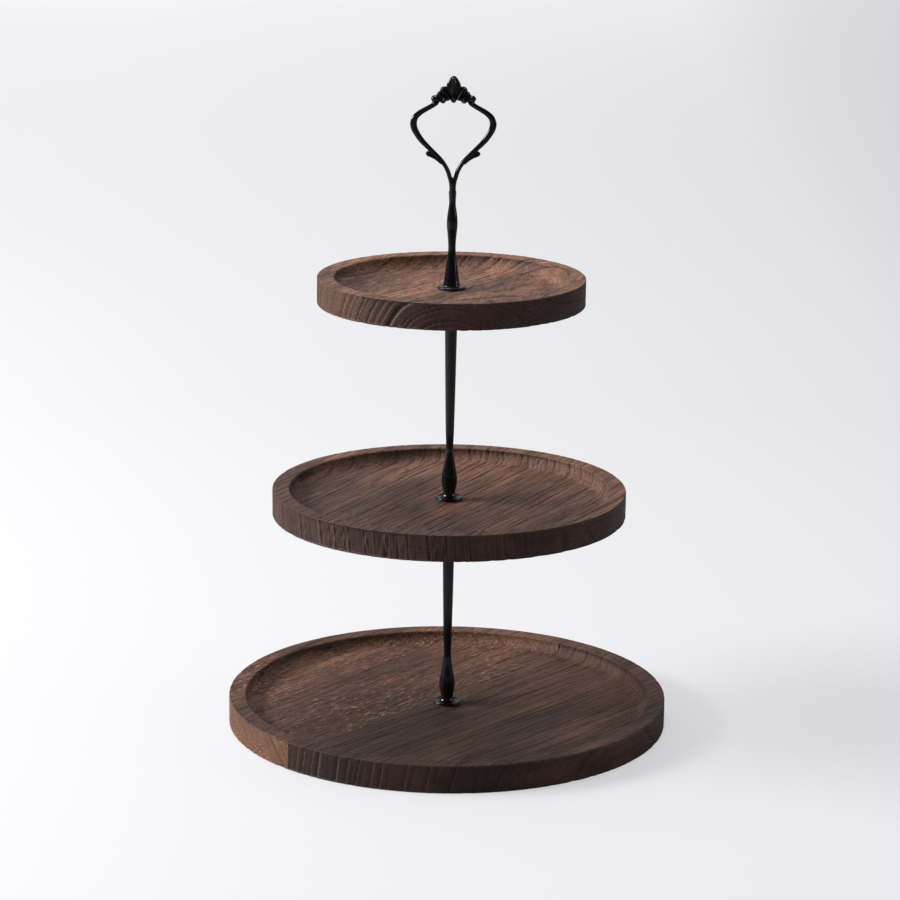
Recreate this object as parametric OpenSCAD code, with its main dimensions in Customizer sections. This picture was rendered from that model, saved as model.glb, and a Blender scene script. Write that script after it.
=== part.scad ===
// Three-tier cake stand. Turned wooden trays are clamped one above another between cast
// metal rods, and a crown-shaped carrying handle screws onto the column at the top.
// Millimetres. Origin: centre of the bottom tray's underside, +Z up, crown in the X-Z plane.

/* [Trays] */
// Diameter of the bottom tray
bottom_d = 250; // [180:1:330]
// Diameter of the middle tray
middle_d = 200; // [150:1:270]
// Diameter of the top tray
top_d = 150; // [120:1:210]
// Thickness of the bottom tray at its rim
bottom_t = 16; // [13:0.5:24]
// Thickness of the middle tray at its rim
middle_t = 15; // [12:0.5:24]
// Thickness of the top tray at its rim
top_t = 15; // [12:0.5:24]
// Width of the flat rim left round each recess
rim_w = 10; // [6:0.5:18]
// Depth of each tray's recess
recess_depth = 7; // [4:0.25:8.5]
// Radius of the cove between the recess wall and its floor
cove_r = 6.3; // [2:0.1:8]
// Rounding of the outer edges of a tray
edge_r = 0.9; // [0.3:0.1:2]
// Direction of the bottom tray's grain and glue seam, counter-clockwise from +X
seam_angle = 50; // [0:5:90]
// Distance of the glue seam behind the middle of the bottom tray
seam_offset = 8.6; // [8.2:0.2:30]

/* [Rods] */
// Length of the lower rod
lower_rod_len = 111.5; // [80:1:160]
// Length of the upper rod
upper_rod_len = 111.5; // [80:1:160]
// Diameter of the round flange at a rod's foot
flange_d = 15.8; // [13:0.2:24]
// Thickness of the flange at its edge
flange_t = 1.3; // [0.8:0.1:2.5]
// Diameter of the neck just above the flange
neck_d = 6.9; // [6.4:0.1:10]
// Diameter of the bulb above the neck
bulb_d = 8.9; // [7.5:0.1:13]
// Height of the bulb's widest place above the foot
bulb_h = 10.8; // [9:0.2:14]
// Diameter of the waist, where the rod is thinnest
waist_d = 4.1; // [3.6:0.1:6]
// Height of the waist above the foot
waist_h = 29.5; // [26:0.5:36]
// Diameter of the rod's top end, which carries the next tray
shoulder_d = 7.2; // [6:0.1:10]

/* [Handle] */
// Length of the column between the top tray and the crown
column_len = 54.5; // [50:0.5:80]
// Diameter of the thin disc at the column's foot
column_disc_d = 15.9; // [13:0.1:24]
// Thickness of the column's disc
column_disc_t = 1.2; // [0.8:0.1:2.5]
// Diameter of the column's cone where it leaves the disc
cone_d = 9.4; // [8:0.1:14]
// Diameter of the swelling half way up the column
swell_d = 6; // [5:0.1:9]
// Diameter of the column where it is slimmest, just below the crown
column_neck_d = 3.7; // [3.6:0.1:6]
// Diameter of the joint between the column and the crown's collar
collar_d = 4.3; // [4:0.1:7]
// Depth of the crown's arms, front to back
arm_depth = 3; // [2:0.1:5]
// Depth of the crown's leaf, front to back
leaf_depth = 3.4; // [2:0.1:6]
// Radius of the round curl at the top of each arm
curl_r = 1.9; // [1.5:0.1:2.3]

/* [Fasteners] */
// Nominal diameter of the base screw and the rods' studs
stud_d = 4; // [3:0.5:4]
// Length of screw or stud that stands in the next rod's foot
stud_grip = 9.5; // [8:0.5:12]
// Length of a stud pressed into the rod below
stud_root = 10.5; // [6:0.5:14]
// Nominal diameter of the stud between the column and the crown
crown_stud_d = 2.5; // [2:0.1:3]
// Length of the crown's stud that stands in the column
crown_stud_grip = 6; // [5:0.5:8]
// Length of the crown's stud that is pressed into the collar
crown_stud_root = 5; // [3:0.5:6]
// Outer diameter of a steel washer
washer_d = 12; // [9:0.5:16]
// Thickness of a steel washer
washer_t = 1; // [0.5:0.1:1.6]
// Thickness of a soft gasket
gasket_t = 0.5; // [0.3:0.1:1]
// Diameter of the base screw's head
head_d = 8; // [7:0.1:9]
// Height of the base screw's head
head_t = 2.2; // [1.8:0.1:2.4]

/* [Clearances] */
// Radial play between a thread and the hole that it runs in
thread_play = 0.05; // [0.02:0.01:0.1]
// Radial play of a stud in a tray
tray_play = 0.1; // [0.05:0.05:0.4]
// Radial play of a stud in its washers and gaskets
washer_play = 0.2; // [0.1:0.05:0.5]
// Radial room round the washer in the bottom tray's counterbore
counterbore_play = 2; // [1:0.5:3.5]
// Free depth at the blind end of a threaded hole
bore_relief = 1.5; // [0.5:0.5:3]
// Height that the base screw's head stays above the table
head_lift = 0.3; // [0.1:0.1:1]
// Width that the foot's flange stands out over its gasket
gasket_inset = 0.4; // [0.2:0.1:1]

/* [Hidden] */
$fn = 96;
far = 1000;           // longer than any piece, for cutting
arc_steps = 6;        // straight steps in a rounded edge
curve_steps = 4;      // straight steps between two points of a turned outline

stud_r = stud_d / 2;
crown_stud_r = crown_stud_d / 2;
thread_hole_r = stud_r + thread_play;
crown_hole_r = crown_stud_r + thread_play;
thread_hole_depth = stud_grip + bore_relief;
crown_hole_depth = crown_stud_grip + bore_relief;

// The counterbore hides the screw's head, the washer and the gasket above the table
counterbore_r = washer_d / 2 + counterbore_play;
counterbore_depth = head_lift + head_t + washer_t + gasket_t;

// Heights of the stack, from the table up
bottom_floor = bottom_t - recess_depth;
lower_foot = bottom_floor + gasket_t;
lower_top = lower_foot + lower_rod_len;
middle_base = lower_top + washer_t + gasket_t;
middle_floor = middle_base + middle_t - recess_depth;
upper_foot = middle_floor + gasket_t;
upper_top = upper_foot + upper_rod_len;
top_base = upper_top + washer_t + gasket_t;
top_floor = top_base + top_t - recess_depth;
column_foot = top_floor + gasket_t;
crown_foot = column_foot + column_len;

// Right arm of the crown: its middle line and width, as [x, height, width]
arm_line = [
    [0.9, 5.3, 2.4], [2.2, 9.6, 2.2], [4.4, 14.2, 2], [11.2, 21.9, 2.2], [19.7, 30.6, 2.9],
    [21.9, 37.4, 3.5], [20.6, 41.5, 3.1], [13, 46.9, 2.4], [8.4, 49.6, 2.2]
];
// Small leaf that springs outwards from the lower half of the arm
thumb_leaf = [
    [5.9, 14.3], [9, 17.2], [10.7, 18.5], [12.2, 19], [14.4, 19.6], [15.4, 20.5], [15, 21.9],
    [13.7, 22.6], [8.9, 20]
];
// Right half of the large leaf at the top, from its scalloped lower edge to its tip
leaf_half = [
    [0, 49], [1, 49.2], [2.6, 50.3], [4.6, 49.4], [6, 48.7], [7.3, 49.2], [8.6, 49.6],
    [9.9, 51.7], [8.4, 53.6], [7, 54.1], [6.7, 55.6], [6, 56.9], [4.7, 57.7], [3.5, 59],
    [3.2, 60.8], [1.7, 62.3], [0.9, 63.6], [0, 64]
];
curl_centre = [10.5, 51.2];
collar_h = 7;

wood_dark = [0.28, 0.2, 0.17];
wood_red = [0.33, 0.22, 0.18];
black_paint = [0.1, 0.1, 0.1];
steel = [0.7, 0.7, 0.72];
soft_grey = [0.8, 0.8, 0.78];

// Points of an arc round a centre, from one angle to another
function arc(centre, r, from, to) = [
    for (i = [0 : arc_steps])
        let (a = from + (to - from) * i / arc_steps)
            centre + r * [cos(a), sin(a)]
];

// One point of the smooth curve that runs through every point of p (Catmull-Rom)
function curve_point(p, i, t) =
    let (a = p[max(i - 1, 0)], b = p[i], c = p[i + 1], d = p[min(i + 2, len(p) - 1)])
        0.5 * (2 * b + (c - a) * t + (2 * a - 5 * b + 4 * c - d) * t * t
            + (3 * b - a - 3 * c + d) * t * t * t);

function curve(p, steps) = concat(
    [for (i = [0 : len(p) - 2], k = [0 : steps - 1]) curve_point(p, i, k / steps)],
    [p[len(p) - 1]]
);

// A solid turned round the Z axis from an outline of [radius, height] points
module turned(outline) {
    rotate_extrude() polygon(outline);
}

module ring(z, outer_r, hole_r, thickness) {
    translate([0, 0, z]) difference() {
        cylinder(h = thickness, r = outer_r);
        translate([0, 0, -1]) cylinder(h = thickness + 2, r = hole_r);
    }
}

module blind_hole(z, r, depth) {
    translate([0, 0, z - 1]) cylinder(h = depth + 1, r = r);
}

// ---- trays ----

// Turned tray: flat underside, rounded outer edges, flat rim, coved recess, centre hole
module tray(z, d, thickness) {
    rim_edge_r = 0.5;
    wall_left = 0.2;
    cove = min(cove_r, recess_depth - rim_edge_r - wall_left);
    hole_r = stud_r + tray_play;
    outer = d / 2;
    inner = outer - rim_w;
    floor_z = thickness - recess_depth;
    translate([0, 0, z]) turned(concat(
        [[hole_r, 0]],
        arc([outer - edge_r, edge_r], edge_r, -90, 0),
        arc([outer - edge_r, thickness - edge_r], edge_r, 0, 90),
        arc([inner + rim_edge_r, thickness - rim_edge_r], rim_edge_r, 90, 180),
        arc([inner - cove, floor_z + cove], cove, 0, -90),
        [[hole_r, floor_z]]
    ));
}

// Everything on the back side of the bottom tray's glue seam
module behind_seam() {
    rotate([0, 0, seam_angle]) translate([-far / 2, seam_offset, -1])
        cube([far, far, bottom_t + 2]);
}

// The bottom tray before its two boards are told apart, with the screw's counterbore
module bottom_blank() {
    difference() {
        tray(0, bottom_d, bottom_t);
        translate([0, 0, -1]) cylinder(h = counterbore_depth + 1, r = counterbore_r);
    }
}

module bottom_tray_front_board() {
    color(wood_dark) difference() {
        bottom_blank();
        behind_seam();
    }
}

module bottom_tray_back_board() {
    color(wood_red) intersection() {
        bottom_blank();
        behind_seam();
    }
}

module middle_tray() {
    color(wood_dark) tray(middle_base, middle_d, middle_t);
}

module top_tray() {
    color(wood_red) tray(top_base, top_d, top_t);
}

// ---- rods ----

// Outline of a rod: flange, neck, bulb and waist keep their heights, and the taper above
// the waist grows with the rod's length
function rod_outline(length) =
    let (
        flange_r = flange_d / 2,
        lip_r = flange_t / 2,
        dome_r = (flange_r + neck_d / 2) / 2,
        taper = [for (k = [0.2, 0.45, 0.7, 1]) [
            (waist_d + (shoulder_d - waist_d) * pow(k, 0.75)) / 2,
            waist_h + (length - waist_h) * k
        ]]
    )
    concat(
        [[0, 0]],
        arc([flange_r - lip_r, lip_r], lip_r, -90, 90),
        curve(concat([
            [dome_r, flange_t + 0.2],
            [neck_d / 2 + 0.5, flange_t + 1],
            [neck_d / 2, flange_t + 2.5],
            [bulb_d / 2, bulb_h],
            [waist_d / 2 + (bulb_d - waist_d) / 4, (bulb_h + waist_h) / 2],
            [waist_d / 2, waist_h]
        ], taper), curve_steps),
        [[0, length]]
    );

module rod(z, length) {
    difference() {
        translate([0, 0, z]) turned(rod_outline(length));
        blind_hole(z, thread_hole_r, thread_hole_depth);
        translate([0, 0, z + length - stud_root]) cylinder(h = stud_root + 1, r = stud_r);
    }
}

// Threaded stud from inside one rod, through the tray, into the foot of the next
module stud(rod_top, next_foot) {
    translate([0, 0, rod_top - stud_root])
        cylinder(h = stud_root + next_foot - rod_top + stud_grip, r = stud_r);
}

module lower_rod() {
    color(black_paint) rod(lower_foot, lower_rod_len);
}

module lower_rod_stud() {
    color(steel) stud(lower_top, upper_foot);
}

module upper_rod() {
    color(black_paint) rod(upper_foot, upper_rod_len);
}

module upper_rod_stud() {
    color(steel) stud(upper_top, column_foot);
}

// ---- fasteners and gaskets ----

// Pan-head screw with a cross recess, driven up through the bottom tray
module base_screw() {
    slot_w = 1.1;
    slot_l = 4.4;
    slot_depth = 1.3;
    head_top = head_lift + head_t;
    head_round = 0.7;
    color(steel) difference() {
        union() {
            turned(concat(
                [[0, head_lift]],
                arc([head_d / 2 - head_round, head_lift + head_round], head_round, -90, 0),
                [[head_d / 2, head_top], [0, head_top]]
            ));
            translate([0, 0, head_top])
                cylinder(h = lower_foot + stud_grip - head_top, r = stud_r);
        }
        for (a = [0, 90])
            rotate([0, 0, a]) translate([-slot_l / 2, -slot_w / 2, head_lift - 1])
                cube([slot_l, slot_w, slot_depth + 1]);
    }
}

module base_washer() {
    color(steel) ring(head_lift + head_t, washer_d / 2, stud_r + washer_play, washer_t);
}

module base_gasket() {
    color(soft_grey)
        ring(counterbore_depth - gasket_t, washer_d / 2, stud_r + washer_play, gasket_t);
}

module foot_gasket(floor_z, foot_d) {
    ring(floor_z, foot_d / 2 - gasket_inset, stud_r + washer_play, gasket_t);
}

module under_washer(rod_top) {
    ring(rod_top, washer_d / 2, stud_r + washer_play, washer_t);
}

module under_gasket(rod_top) {
    ring(rod_top + washer_t, washer_d / 2, stud_r + washer_play, gasket_t);
}

module lower_foot_gasket() {
    color(soft_grey) foot_gasket(bottom_floor, flange_d);
}

module middle_under_washer() {
    color(steel) under_washer(lower_top);
}

module middle_under_gasket() {
    color(soft_grey) under_gasket(lower_top);
}

module middle_foot_gasket() {
    color(soft_grey) foot_gasket(middle_floor, flange_d);
}

module top_under_washer() {
    color(steel) under_washer(upper_top);
}

module top_under_gasket() {
    color(soft_grey) under_gasket(upper_top);
}

module top_foot_gasket() {
    color(soft_grey) foot_gasket(top_floor, column_disc_d);
}

// ---- column and crown ----

// The cone and its waist keep their heights; the swelling and the slim top end hang
// from the column's upper end
function column_outline() =
    let (disc_r = column_disc_d / 2, lip_r = column_disc_t / 2)
    concat(
        [[0, 0]],
        arc([disc_r - lip_r, lip_r], lip_r, -90, 90),
        [[cone_d / 2 + 0.4, column_disc_t]],
        curve([
            [cone_d / 2, column_disc_t + 0.5],
            [cone_d / 2 - 0.5, column_disc_t + 3.5],
            [cone_d / 2 - 1, column_disc_t + 7.5],
            [cone_d / 2 - 1.9, column_disc_t + 13.8],
            [cone_d / 2 - 2.6, column_disc_t + 21],
            [swell_d / 2 - 0.45, column_len - 24],
            [swell_d / 2, column_len - 18],
            [swell_d / 2 - 0.5, column_len - 12.7],
            [column_neck_d / 2, column_len - 7],
            [collar_d / 2, column_len]
        ], curve_steps),
        [[0, column_len]]
    );

module handle_column() {
    color(black_paint) difference() {
        translate([0, 0, column_foot]) turned(column_outline());
        blind_hole(column_foot, thread_hole_r, thread_hole_depth);
        translate([0, 0, crown_foot - crown_hole_depth])
            cylinder(h = crown_hole_depth + 1, r = crown_hole_r);
    }
}

module crown_stud() {
    color(steel) translate([0, 0, crown_foot - crown_stud_grip])
        cylinder(h = crown_stud_grip + crown_stud_root, r = crown_stud_r);
}

// Band of the given middle line and width, as one closed outline
function band(line, steps) =
    let (
        p = curve(line, steps),
        last = len(p) - 1,
        side = function (i)
            let (d = p[min(i + 1, last)] - p[max(i - 1, 0)])
                p[i][2] / 2 * [-d[1], d[0]] / norm([d[0], d[1]])
    )
    concat(
        [for (i = [0 : last]) [p[i][0], p[i][1]] + side(i)],
        [for (i = [last : -1 : 0]) [p[i][0], p[i][1]] - side(i)]
    );

// Plate of the given depth standing in the X-Z plane, centred on it
module plate(depth) {
    translate([0, 0, crown_foot]) rotate([90, 0, 0])
        linear_extrude(height = depth, center = true) children();
}

module crown_side() {
    plate(arm_depth) polygon(band(arm_line, curve_steps));
    plate(arm_depth) polygon(thumb_leaf);
    plate(leaf_depth) polygon(leaf_half);
    translate([curl_centre[0], 0, crown_foot + curl_centre[1]]) sphere(r = curl_r, $fn = 32);
}

module crown_handle() {
    color(black_paint) difference() {
        union() {
            translate([0, 0, crown_foot]) cylinder(h = collar_h, r = collar_d / 2);
            crown_side();
            mirror([1, 0, 0]) crown_side();
        }
        blind_hole(crown_foot, crown_stud_r, crown_stud_root);
    }
}

bottom_tray_front_board();
bottom_tray_back_board();
base_screw();
base_washer();
base_gasket();
lower_foot_gasket();
lower_rod();
lower_rod_stud();
middle_under_washer();
middle_under_gasket();
middle_tray();
middle_foot_gasket();
upper_rod();
upper_rod_stud();
top_under_washer();
top_under_gasket();
top_tray();
top_foot_gasket();
handle_column();
crown_stud();
crown_handle();
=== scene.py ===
# %% [markdown]
# # A three-tier cake stand
#
# Turned wooden trays are clamped one above another between black metal rods, and a
# crown-shaped handle screws onto the top. The CAD model holds every size and every joint.
# This lesson gives each piece the surface and the finish of the real one, in metres and in
# the same frame as the CAD, so nothing has to be fitted afterwards.

# %% Load the frame
import math

import bmesh
import bpy
import numpy as np
from mathutils import Euler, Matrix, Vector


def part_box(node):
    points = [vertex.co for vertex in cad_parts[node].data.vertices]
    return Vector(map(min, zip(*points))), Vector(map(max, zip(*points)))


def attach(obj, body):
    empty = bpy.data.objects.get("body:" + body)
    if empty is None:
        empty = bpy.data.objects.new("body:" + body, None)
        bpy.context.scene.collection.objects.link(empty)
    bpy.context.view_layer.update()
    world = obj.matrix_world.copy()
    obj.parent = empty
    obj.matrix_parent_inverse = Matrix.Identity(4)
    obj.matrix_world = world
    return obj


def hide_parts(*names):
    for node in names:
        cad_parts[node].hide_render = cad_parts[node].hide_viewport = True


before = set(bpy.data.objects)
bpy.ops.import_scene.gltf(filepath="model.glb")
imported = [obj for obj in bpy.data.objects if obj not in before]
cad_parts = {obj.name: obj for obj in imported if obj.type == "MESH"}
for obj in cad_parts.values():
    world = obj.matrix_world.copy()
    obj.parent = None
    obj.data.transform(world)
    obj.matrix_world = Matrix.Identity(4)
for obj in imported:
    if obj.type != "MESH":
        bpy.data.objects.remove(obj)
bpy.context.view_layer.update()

MM = 0.001

# %% [markdown]
# ## The camera and the room
#
# The stand is seen from a little above, from far enough away that the three trays keep
# nearly the same scale. A long lens gives that, where a short one would swell the top tray.
# It is rolled by less than a degree, as a camera held by hand would be.

# %% Camera
CAMERA_PLACE = (0.0002, -1.75, 0.6073)
CAMERA_PITCH = 14.36   # degrees below the horizon
CAMERA_ROLL = 0.65     # degrees, so that the stand leans a little to the right
LENS = 128.1           # millimetres, on a sensor 36 mm wide


def make_camera():
    """A camera that looks along +Y, tipped down and rolled about its own line of sight."""
    data = bpy.data.cameras.new("camera")
    data.lens = LENS
    data.sensor_width = 36.0
    camera = bpy.data.objects.new("camera", data)
    tip = Euler((math.radians(90 - CAMERA_PITCH), 0, 0)).to_matrix()
    roll = Euler((0, 0, math.radians(CAMERA_ROLL))).to_matrix()
    camera.matrix_world = (tip @ roll).to_4x4()
    camera.location = CAMERA_PLACE
    bpy.context.collection.objects.link(camera)
    bpy.context.scene.camera = camera


make_camera()

# %% [markdown]
# ## Meshes from arrays
#
# Nearly every piece here is a grid of points: one direction runs along an outline, and the
# other runs round an axis or across a band. numpy works the whole grid out at once, and one
# helper turns it into a mesh. The helper closes the grid where it wraps round, puts a single
# point at a pole, and turns the faces outwards by the sign of the volume they enclose.

# %% Grid to mesh


def link_mesh(name, points, faces):
    """A smooth-shaded mesh object from an array of points and a list of face arrays."""
    mesh = bpy.data.meshes.new(name)
    mesh.from_pydata(points.tolist(), [], [f for block in faces for f in block.tolist()])
    mesh.shade_smooth()
    piece = bpy.data.objects.new(name, mesh)
    bpy.context.collection.objects.link(piece)
    return piece


def grid_faces(rows, columns, wrap_rows, wrap_columns):
    """Quads that join each point (i, j) to (i+1, j), (i+1, j+1) and (i, j+1)."""
    i, j = np.meshgrid(np.arange(rows - (not wrap_rows)),
                       np.arange(columns - (not wrap_columns)), indexing="ij")
    down = (i + 1) % rows
    right = (j + 1) % columns
    quad = [i * columns + j, down * columns + j, down * columns + right, i * columns + right]
    return np.stack(quad, -1).reshape(-1, 4)


def enclosed_volume(points, faces):
    """Sum over triangles of a . (b x c) / 6, positive when the faces point outwards."""
    total = 0.0
    for block in faces:
        a = points[block[:, 0]]
        for k in range(1, block.shape[1] - 1):
            b, c = points[block[:, k]], points[block[:, k + 1]]
            total += np.einsum("ij,ij->i", a, np.cross(b, c)).sum() / 6
    return total


def closed_grid(grid, wrap_rows=False):
    """Points and faces of a grid whose columns go round. Rows wrap too, or both ends get a
    cap: a fan from each end row to the middle of that row."""
    rows, columns = grid.shape[:2]
    points = grid.reshape(-1, 3)
    faces = [grid_faces(rows, columns, wrap_rows, True)]
    if not wrap_rows:
        ends = np.stack([grid[0].mean(0), grid[-1].mean(0)])
        j = np.arange(columns)
        after = (j + 1) % columns
        first, last = len(points), len(points) + 1
        base = (rows - 1) * columns
        faces.append(np.stack([j, after, np.full(columns, first)], -1))
        faces.append(np.stack([base + after, base + j, np.full(columns, last)], -1))
        points = np.concatenate([points, ends])
    if enclosed_volume(points, faces) < 0:
        faces = [block[:, ::-1] for block in faces]
    return points, faces


def finish_piece(piece, body, slot, material, *nodes):
    """Gives a piece its material and its CAD body, and hides the nodes it stands for. The slot is
    not used.
    """
    piece.data.materials.append(material)
    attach(piece, body)
    if nodes:
        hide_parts(*nodes)
    print(piece.name, "faces:", len(piece.data.polygons), "rides on", body)
    return piece


# %% Outlines


def arc(centre, radius, start, end, count):
    """Points of a circle's arc: centre + radius (cos a, sin a), a in degrees."""
    a = np.radians(np.linspace(start, end, count))
    return np.array(centre) + radius * np.stack([np.cos(a), np.sin(a)], -1)


def straight(start, end, spacing):
    """Evenly spaced points from start up to, but without, end."""
    start, end = np.array(start, float), np.array(end, float)
    count = max(1, round(np.linalg.norm(end - start) / spacing))
    return start + (end - start) * np.arange(count)[:, None] / count


def through(points, steps):
    """Catmull-Rom curve through the points: on each stretch a cubic whose slope at an inner
    point is half the step between its two neighbours."""
    p = np.array(points, float)
    p = np.concatenate([2 * p[:1] - p[1:2], p, 2 * p[-1:] - p[-2:-1]])
    t = (np.arange(steps) / steps)[:, None, None]
    a, b, c, d = p[:-3], p[1:-2], p[2:-1], p[3:]
    curve = 0.5 * (2 * b + (c - a) * t + (2 * a - 5 * b + 4 * c - d) * t ** 2
                   + (3 * b - a - 3 * c + d) * t ** 3)
    return np.concatenate([curve.transpose(1, 0, 2).reshape(-1, p.shape[1]), p[-2:-1]])


def turned_grid(outline, turns):
    """An outline of (radius, height) carried round Z: (r cos a, r sin a, z)."""
    a = np.linspace(0, 2 * np.pi, turns, endpoint=False)
    r, z = outline[:, 0][:, None], outline[:, 1][:, None]
    return np.stack([r * np.cos(a), r * np.sin(a), z + 0 * a], -1)


def turned_piece(name, outline, turns=96, wrap_rows=False):
    """A solid turned round the Z axis from an outline in millimetres."""
    points, faces = closed_grid(turned_grid(outline * MM, turns), wrap_rows)
    return link_mesh(name, points, faces)


# %% [markdown]
# ## Wiring for the materials
#
# A procedural material is a small circuit. These helpers add a node, set or join its
# sockets, and hand back its output, so that a material further down reads like a formula.

# %% Node helpers


def add_node(tree, kind, sockets=None, **settings):
    """Adds a node; each named or numbered socket is joined to an output or set to a value."""
    node = tree.nodes.new(kind)
    for name, value in settings.items():
        setattr(node, name, value)
    for key, value in (sockets or {}).items():
        if isinstance(value, bpy.types.NodeSocket):
            tree.links.new(value, node.inputs[key])
        else:
            node.inputs[key].default_value = value
    return node


def maths(tree, operation, a, b=0.0, c=0.0, clamp=False):
    """One Math node on up to three numbers."""
    sockets = {0: a, 1: b, 2: c}
    return add_node(tree, "ShaderNodeMath", sockets, operation=operation,
                    use_clamp=clamp).outputs[0]


def span(tree, value, low, high, to_low=0.0, to_high=1.0):
    """Maps low..high to to_low..to_high and stops at both ends."""
    sockets = {"Value": value, "From Min": low, "From Max": high, "To Min": to_low,
               "To Max": to_high}
    return add_node(tree, "ShaderNodeMapRange", sockets).outputs["Result"]


def mix_colours(tree, amount, a, b):
    """Colour a turning into colour b as amount goes from 0 to 1."""
    node = add_node(tree, "ShaderNodeMix", data_type="RGBA")
    for key, value in (("Factor_Float", amount), ("A_Color", a), ("B_Color", b)):
        socket = next(s for s in node.inputs if s.identifier == key)
        if isinstance(value, bpy.types.NodeSocket):
            tree.links.new(value, socket)
        else:
            socket.default_value = value
    return next(s for s in node.outputs if s.identifier == "Result_Color")


def noise(tree, place, scale, stretch=(1, 1, 1), detail=2.0, rough=0.5, distort=0.0):
    """Noise of the given scale on a place that is stretched first, about 0.5 on average."""
    wide = add_node(tree, "ShaderNodeVectorMath", {0: place, 1: stretch},
                    operation="MULTIPLY").outputs[0]
    sockets = {"Vector": wide, "Scale": scale, "Detail": detail, "Roughness": rough,
               "Distortion": distort}
    return add_node(tree, "ShaderNodeTexNoise", sockets).outputs["Fac"]


def new_group(name, inputs, outputs):
    """An empty shader node group with the given sockets, as (group, input node, outputs)."""
    group = bpy.data.node_groups.new(name, "ShaderNodeTree")
    for socket, kind, value in inputs:
        made = group.interface.new_socket(socket, in_out="INPUT", socket_type=kind)
        if value is not None:
            made.default_value = value
    for socket, kind in outputs:
        group.interface.new_socket(socket, in_out="OUTPUT", socket_type=kind)
    given = group.nodes.new("NodeGroupInput").outputs
    return group, given, group.nodes.new("NodeGroupOutput").inputs


def new_material(name):
    """A material with its Principled BSDF, its tree and its object coordinates."""
    material = bpy.data.materials.new(name)
    material.use_nodes = True
    tree = material.node_tree
    shader = next(n for n in tree.nodes if n.type == "BSDF_PRINCIPLED")
    place = tree.nodes.new("ShaderNodeTexCoord").outputs["Object"]
    return material, tree, shader, place


def fine_bump(tree, shader, height, depth, strength=1.0):
    """Relief too fine for the mesh, with its full depth in millimetres."""
    bump = add_node(tree, "ShaderNodeBump",
                    {"Height": height, "Distance": depth * MM, "Strength": strength})
    tree.links.new(bump.outputs[0], shader.inputs["Normal"])


def shade(red, green, blue):
    """A colour given as 0-255 display values, as the linear values that a socket wants."""
    c = np.array([red, green, blue]) / 255
    linear = np.where(c <= 0.04045, c / 12.92, ((c + 0.055) / 1.055) ** 2.4)
    return (*linear.tolist(), 1.0)


# %% [markdown]
# ## How wood is drawn
#
# A tree lays down one ring a year round its pith, so the rings in a board are cylinders
# round a line that usually lies outside it. Where a face cuts them lengthwise they show as
# long stripes, where it touches them flat they open into a flame, and on the end of the
# board they are short upright lines. One formula in three dimensions gives all three, so a
# stripe on a tray's floor runs over the rim and down the side as it does in real wood.
#
# The number of the ring at a point is its distance from the pith, plus a little sway, over
# the width of a ring. The wood was brushed and scorched, which wears the soft part of each
# ring away. So the same formula is used twice: numpy cuts the grooves into the mesh, and a
# node group darkens the same lines.

# %% Growth rings in numbers
# Each sway is (wave along the grain, across it, through it, in turns per metre, phase, size)
RING_SWAYS = [
    (3.1, 1.7, 2.0, 0.4, 1.30 * MM),
    (7.3, -4.1, 3.0, 2.1, 0.55 * MM),
    (14.9, 9.7, 11.0, 4.4, 0.28 * MM),
    (31.7, -23.3, 29.0, 1.2, 0.12 * MM),
]
# Uneven years, as (size in rings, waves per ring in radians, phase)
UNEVEN_YEARS = [(0.45, 0.8, 0.0), (0.2, 1.9, 2.0)]
DARK_YEARS = (0.6, 0.4, 2.3, 1.0)     # mean strength, its change, waves per ring, phase
RIDGE_LEAD = 0.17                     # how far the ridge runs ahead of the groove, in rings
RIDGE_SHARP = 14                      # the power that makes a ridge narrow


def in_the_log(points, board):
    """Points as (along the grain, across, through) measured from a spot on the pith."""
    turn = np.array(Euler([math.radians(a) for a in board["turn"]]).to_matrix())
    return (points - np.array(board["pith"]) * MM) @ turn


def ring_profile(points, board):
    """Groove and ridge of each ring. With n the distance from the pith plus its sways over
    the ring width, the groove is (half + half cos(2 pi n)) to a power, times the year's own
    strength. The ridge is a narrower line of the same kind, just inside the groove."""
    log = in_the_log(points, board)
    reach = np.hypot(log[..., 1], log[..., 2])
    for along, across, deep, phase, size in RING_SWAYS:
        wave = log @ (2 * np.pi * np.array([along, across, deep]))
        reach = reach + board["sway"] * size * np.sin(wave + phase)
    number = reach / (board["ring"] * MM)
    number = number + sum(size * np.sin(rate * number + phase)
                          for size, rate, phase in UNEVEN_YEARS)
    mean, change, rate, phase = DARK_YEARS
    strength = mean + change * np.sin(rate * number + phase)
    groove = (0.5 + 0.5 * np.cos(2 * np.pi * number)) ** board["sharp"]
    ridge = (0.5 + 0.5 * np.cos(2 * np.pi * (number + RIDGE_LEAD))) ** RIDGE_SHARP
    return groove * strength, ridge * strength


# %% Growth rings in nodes


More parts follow.
